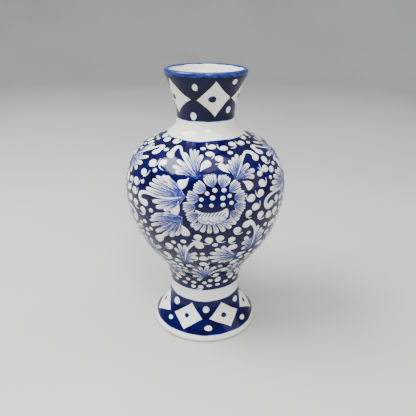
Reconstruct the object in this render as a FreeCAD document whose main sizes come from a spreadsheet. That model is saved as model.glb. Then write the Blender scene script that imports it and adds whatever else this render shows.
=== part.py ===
"""Talavera vase on a flared foot: thrown clay sections, tin glaze coats and painted cobalt.

Frame: +Z up, origin at the middle of the ring the foot stands on, millimetres.
One open outline, from the edge of the foot to the lip, drives everything. Each layer
is that outline moved inwards by its depth, thickened and turned about the axis.
"""
import FreeCAD, Part
import Sketcher
import math
import os

Vector = FreeCAD.Vector
AXIS = Vector(0, 0, 1)

doc = FreeCAD.newDocument("talavera_vase")
sheet = doc.addObject("Spreadsheet::Sheet", "Sizes")

# The outside of the vase from the foot's edge to the lip: name, radius, height.
# Tangent arcs join these points, and the last arc ends upright at the lip. Only the
# stretch that ends at STRAIGHT_END is a straight cone, so that point's radius follows.
OUTLINE = [
    ("foot_toe", 50.4, 0.0),
    ("foot_edge", 46.1, 9.8),
    ("foot_slope", 40.7, 16.5),
    ("foot_top", 34.3, 29.0),
    ("waist", 33.2, 39.5),
    ("belly_root", 35.7, 56.0),
    ("belly_turn", 43.3, 70.7),
    ("belly_rise", 66.1, 109.5),
    ("belly_widest", 71.4, 139.3),
    ("shoulder", 64.9, 164.3),
    ("shoulder_top", 46.6, 180.5),
    ("collar_root", 31.9, 188.1),
    ("neck_narrow", 24.9, 200.4),
    ("neck_rise", 25.4, 207.2),
    ("neck_flare", 33.7, 232.7),
    ("lip", 34.9, 237.85),
]
STRAIGHT_END = "foot_slope"
TOE_ANGLE = math.radians(98.5)  # direction of the outline where it leaves the table

# Everything else that drives the model: alias, millimetres (or a count, or degrees), meaning.
CELLS = [
    ("cobalt_coat", 0.2, "thickness of the painted cobalt"),
    ("glaze_coat", 0.5, "thickness of the white tin glaze outside"),
    ("clay_wall", 3.2, "thickness of the fired clay"),
    ("inner_coat", 0.4, "thickness of the glaze inside and under the foot"),
    ("joint_low", 39.1, "height where the foot ends and its slip begins"),
    ("joint_high", 187.6, "height where the belly ends and its slip begins"),
    ("slip_line", 0.8, "thickness of the slip that joins two sections"),
    ("floor_coat_top", 45.9, "height of the glazed floor inside"),
    ("ceiling_coat_low", 39.5, "lowest face of the glaze under the floor"),
    ("floor_clay", 5.6, "thickness of the clay floor"),
    ("floor_reach", 31.0, "radius of the clay floor, let into the wall"),
    ("glaze_pool", 2.5, "radius of the glaze that pools in a corner"),
    ("bare_ring", 1.0, "height of the unglazed ring that stands on the table"),
    ("foot_band_low", 6.0, "bottom of the cobalt band on the foot"),
    ("foot_band_high", 33.9, "top of the cobalt band on the foot"),
    ("belly_low", 45.8, "bottom of the cobalt ground on the belly"),
    ("belly_high", 187.0, "top of the cobalt ground on the belly"),
    ("neck_band_low", 199.8, "bottom of the cobalt band on the neck"),
    ("reach", 90.0, "half-size of the tools that cut the layers into bands"),
    ("neck_diamonds", 5, "white diamonds round the neck"),
    ("neck_turn", 14.5, "degrees from the front to the first of them"),
    ("neck_diamond_mid", 218.5, "height of their middles"),
    ("neck_diamond_half_width", 13.6, "half their width"),
    ("neck_diamond_half_height", 15.0, "half their height"),
    ("neck_dot_radius", 3.0, "radius of the cobalt dot inside each"),
    ("neck_spot_radius", 2.3, "radius of the white spots between them"),
    ("neck_spot_high", 230.5, "height of the upper spots"),
    ("neck_spot_low", 206.0, "height of the lower spots"),
    ("foot_diamonds", 7, "white diamonds round the foot"),
    ("foot_turn", -25.0, "degrees from the front to the first of them"),
    ("foot_diamond_mid", 18.6, "height of their middles"),
    ("foot_diamond_half_width", 14.6, "half their width"),
    ("foot_diamond_half_height", 11.0, "half their height"),
    ("foot_dot_radius", 2.1, "radius of the cobalt dot inside each"),
    ("foot_spot_radius", 2.3, "radius of the white spots between them"),
    ("foot_spot_high", 26.4, "height of the upper spots"),
    ("foot_spot_low", 11.2, "height of the lower spots"),
]


def fill_sheet():
    """Write every driving size into the sheet, one row each."""
    rows = []
    for name, radius, height in OUTLINE:
        if name != STRAIGHT_END:
            rows.append((name + "_radius", radius, "outline radius"))
        rows.append((name + "_height", height, "outline height"))
    rows.extend(CELLS)
    for line, (alias, value, meaning) in enumerate(rows, start=1):
        sheet.set("A%d" % line, alias)
        sheet.set("B%d" % line, str(value))
        sheet.set("C%d" % line, meaning)
        sheet.setAlias("B%d" % line, alias)
    doc.recompute()


def size(alias):
    """The number in a cell, for the few places that need it outside an expression."""
    return float(sheet.get(alias))


def arc_between(start, end, direction):
    """The arc that leaves start along direction and ends at end, and its last direction."""
    chord = end - start
    across = Vector(-direction.y, direction.x, 0)
    curvature = 2 * chord.dot(across) / chord.dot(chord)
    centre = start + across * (1 / curvature)
    last = chord * (2 * direction.dot(chord) / chord.dot(chord)) - direction
    first_angle = math.atan2(start.y - centre.y, start.x - centre.x)
    last_angle = math.atan2(end.y - centre.y, end.x - centre.x)
    circle = Part.Circle(centre, AXIS, abs(1 / curvature))
    if curvature > 0:
        return Part.ArcOfCircle(circle, first_angle, last_angle), 1, 2, last
    return Part.ArcOfCircle(circle, last_angle, first_angle), 2, 1, last


def outline_sketch():
    """The outside of the vase: a chain of tangent arcs through the outline's points."""
    sketch = doc.addObject("Sketcher::SketchObject", "outline")
    sketch.Placement = FreeCAD.Placement(Vector(0, 0, 0), FreeCAD.Rotation(Vector(1, 0, 0), 90))
    direction = Vector(math.cos(TOE_ANGLE), math.sin(TOE_ANGLE), 0)
    points = [Vector(radius, height, 0) for name, radius, height in OUTLINE]
    ends = []
    names = [name for name, radius, height in OUTLINE]
    for name, start, end in zip(names[1:], points, points[1:]):
        if name == STRAIGHT_END:
            end.x = start.x + direction.x / direction.y * (end.y - start.y)
            piece, from_end, to_end = Part.LineSegment(start, end), 1, 2
        else:
            piece, from_end, to_end, direction = arc_between(start, end, direction)
        ends.append((sketch.addGeometry(piece, False), from_end, to_end))
    for (before, _, leave), (after, enter, _) in zip(ends, ends[1:]):
        sketch.addConstraint(Sketcher.Constraint("Tangent", before, leave, after, enter))
    upright = Part.LineSegment(points[-1], points[-1] + Vector(0, 5, 0))
    guide = sketch.addGeometry(upright, True)
    sketch.addConstraint(Sketcher.Constraint("Tangent", ends[-1][0], ends[-1][2], guide, 1))
    sketch.addConstraint(Sketcher.Constraint("Vertical", guide))
    sketch.addConstraint(Sketcher.Constraint("DistanceY", guide, 1, guide, 2, 5.0))
    sketch.addConstraint(Sketcher.Constraint("PointOnObject", ends[0][0], ends[0][1], -1))
    corners = [(ends[0][0], ends[0][1])] + [(arc, leave) for arc, _, leave in ends]
    for (name, radius, height), (arc, corner) in zip(OUTLINE, corners):
        if name != STRAIGHT_END:
            bind(sketch, "DistanceX", (-1, 1, arc, corner), radius, name + "_radius")
        if height > 0:
            bind(sketch, "DistanceY", (-1, 1, arc, corner), height, name + "_height")
    doc.recompute()
    return sketch


def bind(sketch, kind, where, value, alias):
    """Add one dimension to a sketch and tie it to its cell."""
    index = sketch.addConstraint(Sketcher.Constraint(kind, *where, float(value)))
    sketch.renameConstraint(index, "c_" + alias)
    sketch.setExpression("Constraints.c_" + alias, "Sizes." + alias)


def moved_line(name, depth):
    """The outline moved inwards by depth."""
    line = doc.addObject("Part::Offset2D", name + "_line")
    line.Source = outline
    line.Mode = "Skin"
    line.Join = 0
    line.setExpression("Value", depth)
    return line


def layer(name, line, thickness):
    """A line thickened inwards and turned about the axis: one whole coat of the vase."""
    section = doc.addObject("Part::Offset2D", name + "_section")
    section.Source = line
    section.Mode = "Skin"
    section.Join = 0
    section.Fill = True
    section.setExpression("Value", thickness)
    turned = doc.addObject("Part::Revolution", name + "_layer")
    turned.Source = section
    turned.Axis = AXIS
    turned.Base = Vector(0, 0, 0)
    turned.Angle = 360
    turned.Solid = True
    doc.recompute()
    return turned


def disc(name, radius, low, high):
    """A flat round slab between two heights."""
    slab = doc.addObject("Part::Cylinder", name)
    slab.setExpression("Radius", radius)
    slab.setExpression("Placement.Base.z", low)
    slab.setExpression("Height", "(%s) - (%s)" % (high, low))
    return slab


def joined(kind, name, base, tool):
    """A boolean of two objects: Part::Cut, Part::Fuse or Part::Common."""
    result = doc.addObject(kind, name)
    result.Base = base
    result.Tool = tool
    doc.recompute()
    return result


def band(name, whole, low, high):
    """The stretch of a layer between two heights."""
    slab = disc(name + "_slab", "Sizes.reach", low, high)
    return joined("Part::Common", name, whole, slab)


def half_ring(name, middle, tube):
    """The upper half of a torus at the lip's height, which rounds the lip."""
    ring = doc.addObject("Part::Torus", name + "_torus")
    ring.setExpression("Radius1", middle)
    ring.setExpression("Radius2", tube)
    ring.setExpression("Placement.Base.z", "Sizes.lip_height")
    doc.recompute()
    return band(name, ring, "Sizes.lip_height", "Sizes.lip_height + Sizes.reach")


def floor_coat(name, side, low, high):
    """Add the glaze that lies flat across the pot, between two heights, to a side coat."""
    slab = disc(name + "_slab", "Sizes.floor_reach", low, high)
    across = joined("Part::Cut", name + "_across", slab, clay)
    return joined("Part::Fuse", name + "_sharp", side, across)


def filleted(name, base, height_alias):
    """Fill the corner of a coat, a circle at the height in a cell, with pooled glaze."""
    height = size(height_alias)
    radius = size("glaze_pool")
    result = doc.addObject("Part::Fillet", name)
    result.Base = base
    rounded = []
    for number, edge in enumerate(base.Shape.Edges, start=1):
        flat = abs(edge.BoundBox.ZMax - height) < 1e-4 and abs(edge.BoundBox.ZMin - height) < 1e-4
        if flat and isinstance(edge.Curve, Part.Circle):
            rounded.append((number, radius, radius))
    result.Edges = rounded
    doc.recompute()
    return result


def origin_plane(body, role):
    """One of a body's own origin planes or axes."""
    return next(item for item in body.Origin.OriginFeatures if item.Role == role)


def stencil(name, draw, count, turn):
    """A shape drawn on the front plane, padded forwards and repeated round the axis."""
    body = doc.addObject("PartDesign::Body", name)
    sketch = body.newObject("Sketcher::SketchObject", name + "_sketch")
    sketch.AttachmentSupport = [(origin_plane(body, "XZ_Plane"), "")]
    sketch.MapMode = "FlatFace"
    doc.recompute()
    draw(sketch)
    doc.recompute()
    pad = body.newObject("PartDesign::Pad", name + "_pad")
    pad.Profile = sketch
    pad.setExpression("Length", "Sizes.reach")
    doc.recompute()
    pattern = body.newObject("PartDesign::PolarPattern", name + "_pattern")
    pattern.Originals = [pad]
    pattern.Axis = (origin_plane(body, "Z_Axis"), [""])
    pattern.Angle = 360
    pattern.setExpression("Occurrences", count)
    body.Tip = pattern
    body.Placement = FreeCAD.Placement(Vector(0, 0, 0), FreeCAD.Rotation(AXIS, 1))
    body.setExpression("Placement.Rotation.Angle", "(%s) * 1 deg" % turn)
    doc.recompute()
    return body


def diamond(place):
    """Draw a diamond whose middle is on the axis at its sheet's height."""
    def draw(sketch):
        middle = size(place + "_diamond_mid")
        width = size(place + "_diamond_half_width")
        height = size(place + "_diamond_half_height")
        top = Vector(0, middle + height, 0)
        right = Vector(width, middle, 0)
        bottom = Vector(0, middle - height, 0)
        left = Vector(-width, middle, 0)
        corners = [top, right, bottom, left]
        for start, end in zip(corners, corners[1:] + corners[:1]):
            sketch.addGeometry(Part.LineSegment(start, end), False)
        for side in range(4):
            sketch.addConstraint(Sketcher.Constraint("Coincident", side, 2, (side + 1) % 4, 1))
        sketch.addConstraint(Sketcher.Constraint("PointOnObject", 0, 1, -2))
        sketch.addConstraint(Sketcher.Constraint("PointOnObject", 2, 1, -2))
        sketch.addConstraint(Sketcher.Constraint("Symmetric", 1, 1, 3, 1, -2))
        sketch.addConstraint(Sketcher.Constraint("Equal", 0, 1))
        bind(sketch, "DistanceX", (-1, 1, 1, 1), width, place + "_diamond_half_width")
        bind(sketch, "DistanceY", (-1, 1, 1, 1), middle, place + "_diamond_mid")
        bind(sketch, "DistanceY", (1, 1, 0, 1), height, place + "_diamond_half_height")
    return draw


def rounds(radius_alias, *height_aliases):
    """Draw circles of one radius above each other on the axis."""
    def draw(sketch):
        for number, alias in enumerate(height_aliases):
            centre = Vector(0, size(alias), 0)
            circle = Part.Circle(centre, AXIS, size(radius_alias))
            sketch.addGeometry(circle, False)
            sketch.addConstraint(Sketcher.Constraint("PointOnObject", number, 3, -2))
            bind(sketch, "DistanceY", (-1, 1, number, 3), size(alias), alias)
            if number:
                sketch.addConstraint(Sketcher.Constraint("Equal", 0, number))
        bind(sketch, "Radius", (0,), size(radius_alias), radius_alias)
    return draw


fill_sheet()
outline = outline_sketch()

# Depths of the layers under the outside surface.
GLAZE_DEPTH = "Sizes.cobalt_coat"
CLAY_DEPTH = GLAZE_DEPTH + " + Sizes.glaze_coat"
INNER_DEPTH = CLAY_DEPTH + " + Sizes.clay_wall"
WHOLE_WALL = INNER_DEPTH + " + Sizes.inner_coat"
SLIP_LOW_TOP = "Sizes.joint_low + Sizes.slip_line"
SLIP_HIGH_TOP = "Sizes.joint_high + Sizes.slip_line"
FLOOR_TOP = SLIP_LOW_TOP + " + Sizes.floor_clay"
LIP_HEIGHT = "Sizes.lip_height"

cobalt = layer("cobalt", outline, "Sizes.cobalt_coat")
glaze = layer("glaze", moved_line("glaze", GLAZE_DEPTH), "Sizes.glaze_coat")
clay = layer("clay", moved_line("clay", CLAY_DEPTH), "Sizes.clay_wall")
inner = layer("inner", moved_line("inner", INNER_DEPTH), "Sizes.inner_coat")

# The fired clay: three thrown sections and the slip that luted them together.
foot_clay = band("foot_clay", clay, "0", "Sizes.joint_low")
slip_ring_foot = band("slip_ring_foot", clay, "Sizes.joint_low", SLIP_LOW_TOP)
belly_wall = band("belly_wall", clay, SLIP_LOW_TOP, "Sizes.joint_high")
floor = disc("floor", "Sizes.floor_reach", SLIP_LOW_TOP, FLOOR_TOP)
belly_clay = joined("Part::Fuse", "belly_clay", belly_wall, floor)
slip_ring_neck = band("slip_ring_neck", clay, "Sizes.joint_high", SLIP_HIGH_TOP)
neck_wall = band("neck_wall", clay, SLIP_HIGH_TOP, LIP_HEIGHT)
CLAY_LIP_MIDDLE = "Sizes.lip_radius - (%s + Sizes.clay_wall / 2)" % CLAY_DEPTH
clay_lip = half_ring("clay_lip", CLAY_LIP_MIDDLE, "Sizes.clay_wall / 2")
neck_clay = joined("Part::Fuse", "neck_clay", neck_wall, clay_lip)

# The white tin glaze: one coat outside and over the lip, one inside, one under the foot.
LIP_MIDDLE = "Sizes.lip_radius - (%s) / 2" % WHOLE_WALL
LIP_TUBE = "(%s) / 2" % WHOLE_WALL
glaze_over_lip = half_ring("glaze_over_lip", LIP_MIDDLE, LIP_TUBE + " - Sizes.cobalt_coat")
glaze_lip = joined("Part::Cut", "glaze_lip", glaze_over_lip, clay_lip)
glaze_side = band("glaze_side", glaze, "Sizes.bare_ring", LIP_HEIGHT)
glaze_outside = joined("Part::Fuse", "glaze_outside", glaze_side, glaze_lip)

inner_side = band("inner_side", inner, FLOOR_TOP, LIP_HEIGHT)
inner_sharp = floor_coat("inner_floor", inner_side, FLOOR_TOP, "Sizes.floor_coat_top")
glaze_inside = filleted("glaze_inside", inner_sharp, "floor_coat_top")

under_side = band("under_side", inner, "Sizes.bare_ring", SLIP_LOW_TOP)
under_sharp = floor_coat("ceiling", under_side, "Sizes.ceiling_coat_low", SLIP_LOW_TOP)
glaze_underside = filleted("glaze_underside", under_sharp, "ceiling_coat_low")

# The painted cobalt: a line over the lip, a band on the neck, the belly's ground, a foot band.
rim_over_lip = half_ring("rim_over_lip", LIP_MIDDLE, LIP_TUBE)
cobalt_rim_line = joined("Part::Cut", "cobalt_rim_line", rim_over_lip, glaze_over_lip)
cobalt_belly_ground = band("cobalt_belly_ground", cobalt, "Sizes.belly_low", "Sizes.belly_high")
pieces = [
    foot_clay, slip_ring_foot, belly_clay, slip_ring_neck, neck_clay,
    glaze_outside, glaze_inside, glaze_underside, cobalt_rim_line, cobalt_belly_ground,
]


def painted_band(place, low, high):
    """A cobalt band with white diamonds and spots left out of it, and a dot in each diamond."""
    count = "Sizes.%s_diamonds" % place
    turn = "Sizes.%s_turn" % place
    half_step = "%s + 180 / %s" % (turn, count)
    spot_heights = (place + "_spot_high", place + "_spot_low")
    diamonds = stencil(place + "_diamond_shapes", diamond(place), count, turn)
    spots = stencil(
        place + "_spot_shapes", rounds(place + "_spot_radius", *spot_heights), count, half_step)
    middle = place + "_diamond_mid"
    dots = stencil(place + "_dot_shapes", rounds(place + "_dot_radius", middle), count, turn)
    whole = band(place + "_band_whole", cobalt, low, high)
    opened = joined("Part::Cut", place + "_band_opened", whole, diamonds)
    painted = joined("Part::Cut", "cobalt_%s_band" % place, opened, spots)
    dotted = joined("Part::Common", "cobalt_%s_dots" % place, whole, dots)
    pieces.extend([painted, dotted])


painted_band("neck", "Sizes.neck_band_low", LIP_HEIGHT)
painted_band("foot", "Sizes.foot_band_low", "Sizes.foot_band_high")


def check_document():
    """Stop if any object of the document failed or has a bad shape."""
    doc.recompute()
    for item in doc.Objects:
        failed = [word for word in item.State if word in ("Invalid", "Error")]
        assert not failed, "%s failed: %s" % (item.Name, failed)
    for piece in pieces:
        assert not piece.Shape.isNull(), piece.Label + " is empty"
        assert piece.Shape.isValid(), piece.Label + " is not valid"
        assert piece.Shape.Solids, piece.Label + " has no solid"


def write_pieces():
    """Write each piece to its own STEP file."""
    os.makedirs("parts", exist_ok=True)
    for piece in pieces:
        box = piece.Shape.BoundBox
        words = (piece.Label, len(piece.Shape.Solids), piece.Shape.Volume, box.ZMin, box.ZMax)
        print("%-20s solids %2d  volume %9.1f mm3  z %7.2f to %7.2f" % words)
        piece.Shape.exportStep("parts/%s.step" % piece.Label)


check_document()
write_pieces()
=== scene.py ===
"""Looks of the talavera vase: tin glaze, cobalt bands and the painted flowers, leaves and strokes.

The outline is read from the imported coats, so every painted layer follows the CAD surface.
Angles are degrees round the vase from the front (-Y), positive to the right. Motifs are
drawn in millimetres on the unrolled surface, and heights are millimetres above the table.
"""
import bisect
import math
import random

import bmesh
import bpy
from mathutils import Matrix, Vector


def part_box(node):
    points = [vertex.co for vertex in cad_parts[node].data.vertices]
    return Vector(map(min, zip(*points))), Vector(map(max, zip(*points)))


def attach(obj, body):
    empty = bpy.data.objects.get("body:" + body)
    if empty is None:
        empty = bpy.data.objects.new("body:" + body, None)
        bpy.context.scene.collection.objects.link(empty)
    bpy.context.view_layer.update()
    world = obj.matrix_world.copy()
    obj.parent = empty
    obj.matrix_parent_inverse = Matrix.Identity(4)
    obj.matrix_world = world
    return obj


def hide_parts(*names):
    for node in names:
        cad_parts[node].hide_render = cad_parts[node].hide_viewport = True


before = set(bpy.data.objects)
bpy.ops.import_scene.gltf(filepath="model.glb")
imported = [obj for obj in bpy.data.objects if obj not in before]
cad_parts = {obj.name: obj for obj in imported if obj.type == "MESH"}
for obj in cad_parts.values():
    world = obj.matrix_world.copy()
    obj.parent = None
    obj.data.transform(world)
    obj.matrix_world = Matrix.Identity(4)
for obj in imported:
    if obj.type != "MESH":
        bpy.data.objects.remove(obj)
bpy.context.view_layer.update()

MM = 0.001
RANDOM = random.Random(24)
FULL_TURN = 6.28  # radians, for random starts

# Layers, in millimetres above the white glaze.
GROUND_LIFT = 0.17
WASH_LIFT = GROUND_LIFT + 0.05
RIM_LIFT = 0.26
STROKE_LIFT = 0.34
LINE_LIFT = 0.42
DOT_LIFT = LINE_LIFT + 0.05
BURIED = -0.06
STROKE_BACK = BURIED - 0.3
BAND_BACK = BURIED - 0.35
GLAZE_BACK = -1.2

# Half widths of the brush, in millimetres: at a stroke's ends, and below which it lies buried.
POINT = 0.02
THINNEST = 0.2

# ---- outline from the frame

LIP_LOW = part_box("cobalt_rim_line")[0].z
SAME_HEIGHT = 5  # decimals of a metre that tell one ring of the mesh from the next
ASIDE = 0.05  # least share of a face's normal that points away from the axis, or towards it
CLOSEST = 0.9 * MM  # rings nearer than this are thinned out
STEP = 0.5 * MM  # spacing of the outline's points
SOFTENING = 4  # points on each side that a point is averaged with
SPAN_STEPS = 8  # steps between two points of a smooth curve
CORNER_STEPS = 6  # the same on a closed outline
LIP_TURNS = 14  # steps over the round lip

# Unevenness of the throwing: millimetres, waves round the pot, phase and twist per metre.
WOBBLES = ((0.13, 2, 0.7, 14), (0.07, 3, 0.0, -31))
STEADY_RADIUS = 0.03  # nearer the axis than this, the wobble fades


def ring_points(node, side):
    """(height, radius) of a turned coat's rings whose faces look outwards (1) or inwards (-1)."""
    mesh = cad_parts[node].data
    rings = {}
    for face in mesh.polygons:
        middle = face.center
        away = (face.normal.x * middle.x + face.normal.y * middle.y) * side
        if away <= ASIDE * math.hypot(middle.x, middle.y):
            continue
        for corner in face.vertices:
            place = mesh.vertices[corner].co
            radius = math.hypot(place.x, place.y)
            height = round(place.z, SAME_HEIGHT)
            farthest = max(rings.get(height, radius) * side, radius * side)
            rings[height] = farthest * side
    return sorted(ring for ring in rings.items() if ring[0] < LIP_LOW + 0.02 * MM)


def evenly(points, step):
    """Points along a smooth curve through the given ones, at an even spacing."""
    thin = [points[0]]
    for point in points[1:]:
        if math.dist(point, thin[-1]) > CLOSEST:
            thin.append(point)
    thin[-1] = points[-1]
    return resample(smooth(thin), step)


def smooth(points):
    """A fine polyline along the smooth curve through the given points."""
    fine = []
    for index in range(len(points) - 1):
        before = points[max(index - 1, 0)]
        after = points[min(index + 2, len(points) - 1)]
        fine.extend(catmull(before, points[index], points[index + 1], after, SPAN_STEPS))
    fine.append(points[-1])
    return fine


def catmull(before, start, end, after, count):
    """A few points of the Catmull-Rom curve from start to end."""
    made = []
    for number in range(count):
        t = number / count
        point = []
        for p0, p1, p2, p3 in zip(before, start, end, after):
            point.append(0.5 * (2 * p1 + (p2 - p0) * t + (2 * p0 - 5 * p1 + 4 * p2 - p3) * t ** 2
                                + (3 * p1 - p0 - 3 * p2 + p3) * t ** 3))
        made.append(tuple(point))
    return made


def resample(points, step):
    """The same polyline with points at an even spacing."""
    lengths = [0.0]
    for start, end in zip(points, points[1:]):
        lengths.append(lengths[-1] + math.dist(start, end))
    count = max(2, round(lengths[-1] / step))
    made = []
    index = 0
    for number in range(count + 1):
        wanted = lengths[-1] * number / count
        while index < len(points) - 2 and lengths[index + 1] < wanted:
            index += 1
        span = lengths[index + 1] - lengths[index]
        t = (wanted - lengths[index]) / span if span else 0.0
        made.append(tuple(a + (b - a) * t for a, b in zip(points[index], points[index + 1])))
    return made


def softened(points, reach):
    """The polyline with each point averaged over its neighbours, ends kept."""
    made = []
    for index in range(len(points)):
        span = min(reach, index, len(points) - 1 - index)
        group = points[index - span:index + span + 1]
        made.append(tuple(sum(values) / len(group) for values in zip(*group)))
    return made


SIDE = softened(evenly(ring_points("glaze_outside", 1), STEP), SOFTENING)
INSIDE = softened(evenly(ring_points("glaze_inside", -1), STEP), SOFTENING)


def whole_path():
    """(height, radius) points up the side, over the lip and down inside to the middle of the floor."""
    out_radius = SIDE[-1][1]
    in_radius = INSIDE[-1][1]
    middle = (out_radius + in_radius) / 2
    half = (out_radius - in_radius) / 2
    path = list(SIDE)
    for number in range(1, LIP_TURNS):
        turn = math.pi * number / LIP_TURNS
        path.append((LIP_LOW + half * math.sin(turn), middle + half * math.cos(turn)))
    path.extend(reversed(INSIDE))
    path.append((INSIDE[0][0], 0.0))
    return path


PATH = whole_path()
LENGTHS = [0.0]
for low_point, high_point in zip(PATH, PATH[1:]):
    LENGTHS.append(LENGTHS[-1] + math.dist(low_point, high_point))
NORMALS = []
for number in range(len(PATH)):
    low_point = PATH[max(number - 1, 0)]
    high_point = PATH[min(number + 1, len(PATH) - 1)]
    run = math.dist(low_point, high_point)
    NORMALS.append(((high_point[0] - low_point[0]) / run, (low_point[1] - high_point[1]) / run))


def along(height_mm):
    """Distance along the path, in metres, of a height on the outside in millimetres."""
    height = height_mm * MM
    index = min(max(bisect.bisect([point[0] for point in SIDE], height), 1), len(SIDE) - 1)
    low, high = SIDE[index - 1][0], SIDE[index][0]
    t = (height - low) / (high - low)
    return LENGTHS[index - 1] + t * (LENGTHS[index] - LENGTHS[index - 1])


def outline_at(distance):
    """Radius, height and outward direction of the white glaze at a distance along the path."""
    index = min(max(bisect.bisect(LENGTHS, distance), 1), len(PATH) - 1)
    t = (distance - LENGTHS[index - 1]) / (LENGTHS[index] - LENGTHS[index - 1])
    t = min(max(t, 0.0), 1.0)
    height, radius = (a + (b - a) * t for a, b in zip(PATH[index - 1], PATH[index]))
    out, up = (a + (b - a) * t for a, b in zip(NORMALS[index - 1], NORMALS[index]))
    return radius, height, out, up


def turned(radius, height, angle):
    """A point of the pot, with the slight unevenness of a hand-thrown one."""
    turn = math.radians(angle)
    wobble = sum(size * math.sin(waves * turn + phase + height * twist)
                 for size, waves, phase, twist in WOBBLES)
    radius += wobble * MM * min(1.0, radius / STEADY_RADIUS)
    return Vector((radius * math.sin(turn), -radius * math.cos(turn), height))


def on_pot(angle, distance, lift):
    """The point at an angle and a distance along the outline, lifted off the white glaze."""
    radius, height, out, up = outline_at(distance)
    return turned(radius + lift * MM * out, height + lift * MM * up, angle)


class Flat:
    """A patch of the unrolled surface round one point: x to the right and y up, millimetres."""

    def __init__(self, angle, height, shift=0.0):
        self.angle = angle + shift
        self.start = along(height)
        self.shift = shift

    def place(self, x, y):
        """Angle and distance along the outline of a point of the patch."""
        distance = self.start + y * MM
        return self.angle + math.degrees(x * MM / outline_at(distance)[0]), distance

    def find(self, angle, height):
        """The patch's x and y of a point given by angle and height."""
        distance = along(height)
        across = math.radians(angle + self.shift - self.angle) * outline_at(distance)[0] / MM
        return across, (distance - self.start) / MM


# ---- mesh builder

FILLED = {}  # where the belly is painted already: square of surface -> circles in it
SQUARE_TALL = 8.0  # millimetres
SQUARE_WIDE = 6  # degrees
SQUARES_ROUND = 360 // SQUARE_WIDE
FAR_ENOUGH = 9.0  # millimetres beyond which bare ground isn't measured
NEARBY = (-2, -1, 0, 1, 2)


def square_of(angle, distance):
    """The square that a point of the unrolled belly falls in."""
    column = round((angle % 360) / SQUARE_WIDE) % SQUARES_ROUND
    return column, round(distance / MM / SQUARE_TALL)


def note_filled(angle, distance, radius_mm):
    """Remember that a spot of the belly is painted."""
    FILLED.setdefault(square_of(angle, distance), []).append((angle % 360, distance, radius_mm))


def room_at(angle, distance):
    """Millimetres of bare ground round a spot of the belly."""
    best = FAR_ENOUGH
    column, row = square_of(angle, distance)
    ring_mm = outline_at(distance)[0] / MM
    for side in NEARBY:
        for level in NEARBY:
            square = ((column + side) % SQUARES_ROUND, row + level)
            for other, far, radius in FILLED.get(square, ()):
                turn = (other - angle + 180) % 360 - 180
                gap = math.hypot(math.radians(turn) * ring_mm, (far - distance) / MM) - radius
                best = min(best, gap)
    return best


# Kept at every point: millimetres from the edge, depth of the blue wash, place across the
# stroke from -1 to 1, and strength of the dark ribs.
NOTES = ("edge", "wash", "across", "ribs")

STROKE_COLUMNS = 7
STROKE_SQUARENESS = 0.2  # the lower, the flatter a stroke's top
PATCH_TOP = ((0.0, 1.0), (0.35, 1.0), (0.65, 1.0), (0.86, 1.0), (0.95, 0.9))  # scale, share of the lift
PATCH_BACK = (0.65, 0.3, 0.0)  # scales of the rings beneath

# Sections across a stroke and a thin line: place from -1 to 1, and lift.
STROKE_SECTION = []
for column in range(STROKE_COLUMNS):
    v = -math.cos(math.pi * column / (STROKE_COLUMNS - 1))
    STROKE_SECTION.append((v, BURIED + (STROKE_LIFT - BURIED) * (1 - v * v) ** STROKE_SQUARENESS))
LINE_SECTION = ((-1, LINE_LIFT - 0.3), (-0.7, LINE_LIFT), (0.7, LINE_LIFT), (1, LINE_LIFT - 0.3))


def limited(value):
    """The value, kept from 0 to 1."""
    return max(0.0, min(1.0, value))


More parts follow.
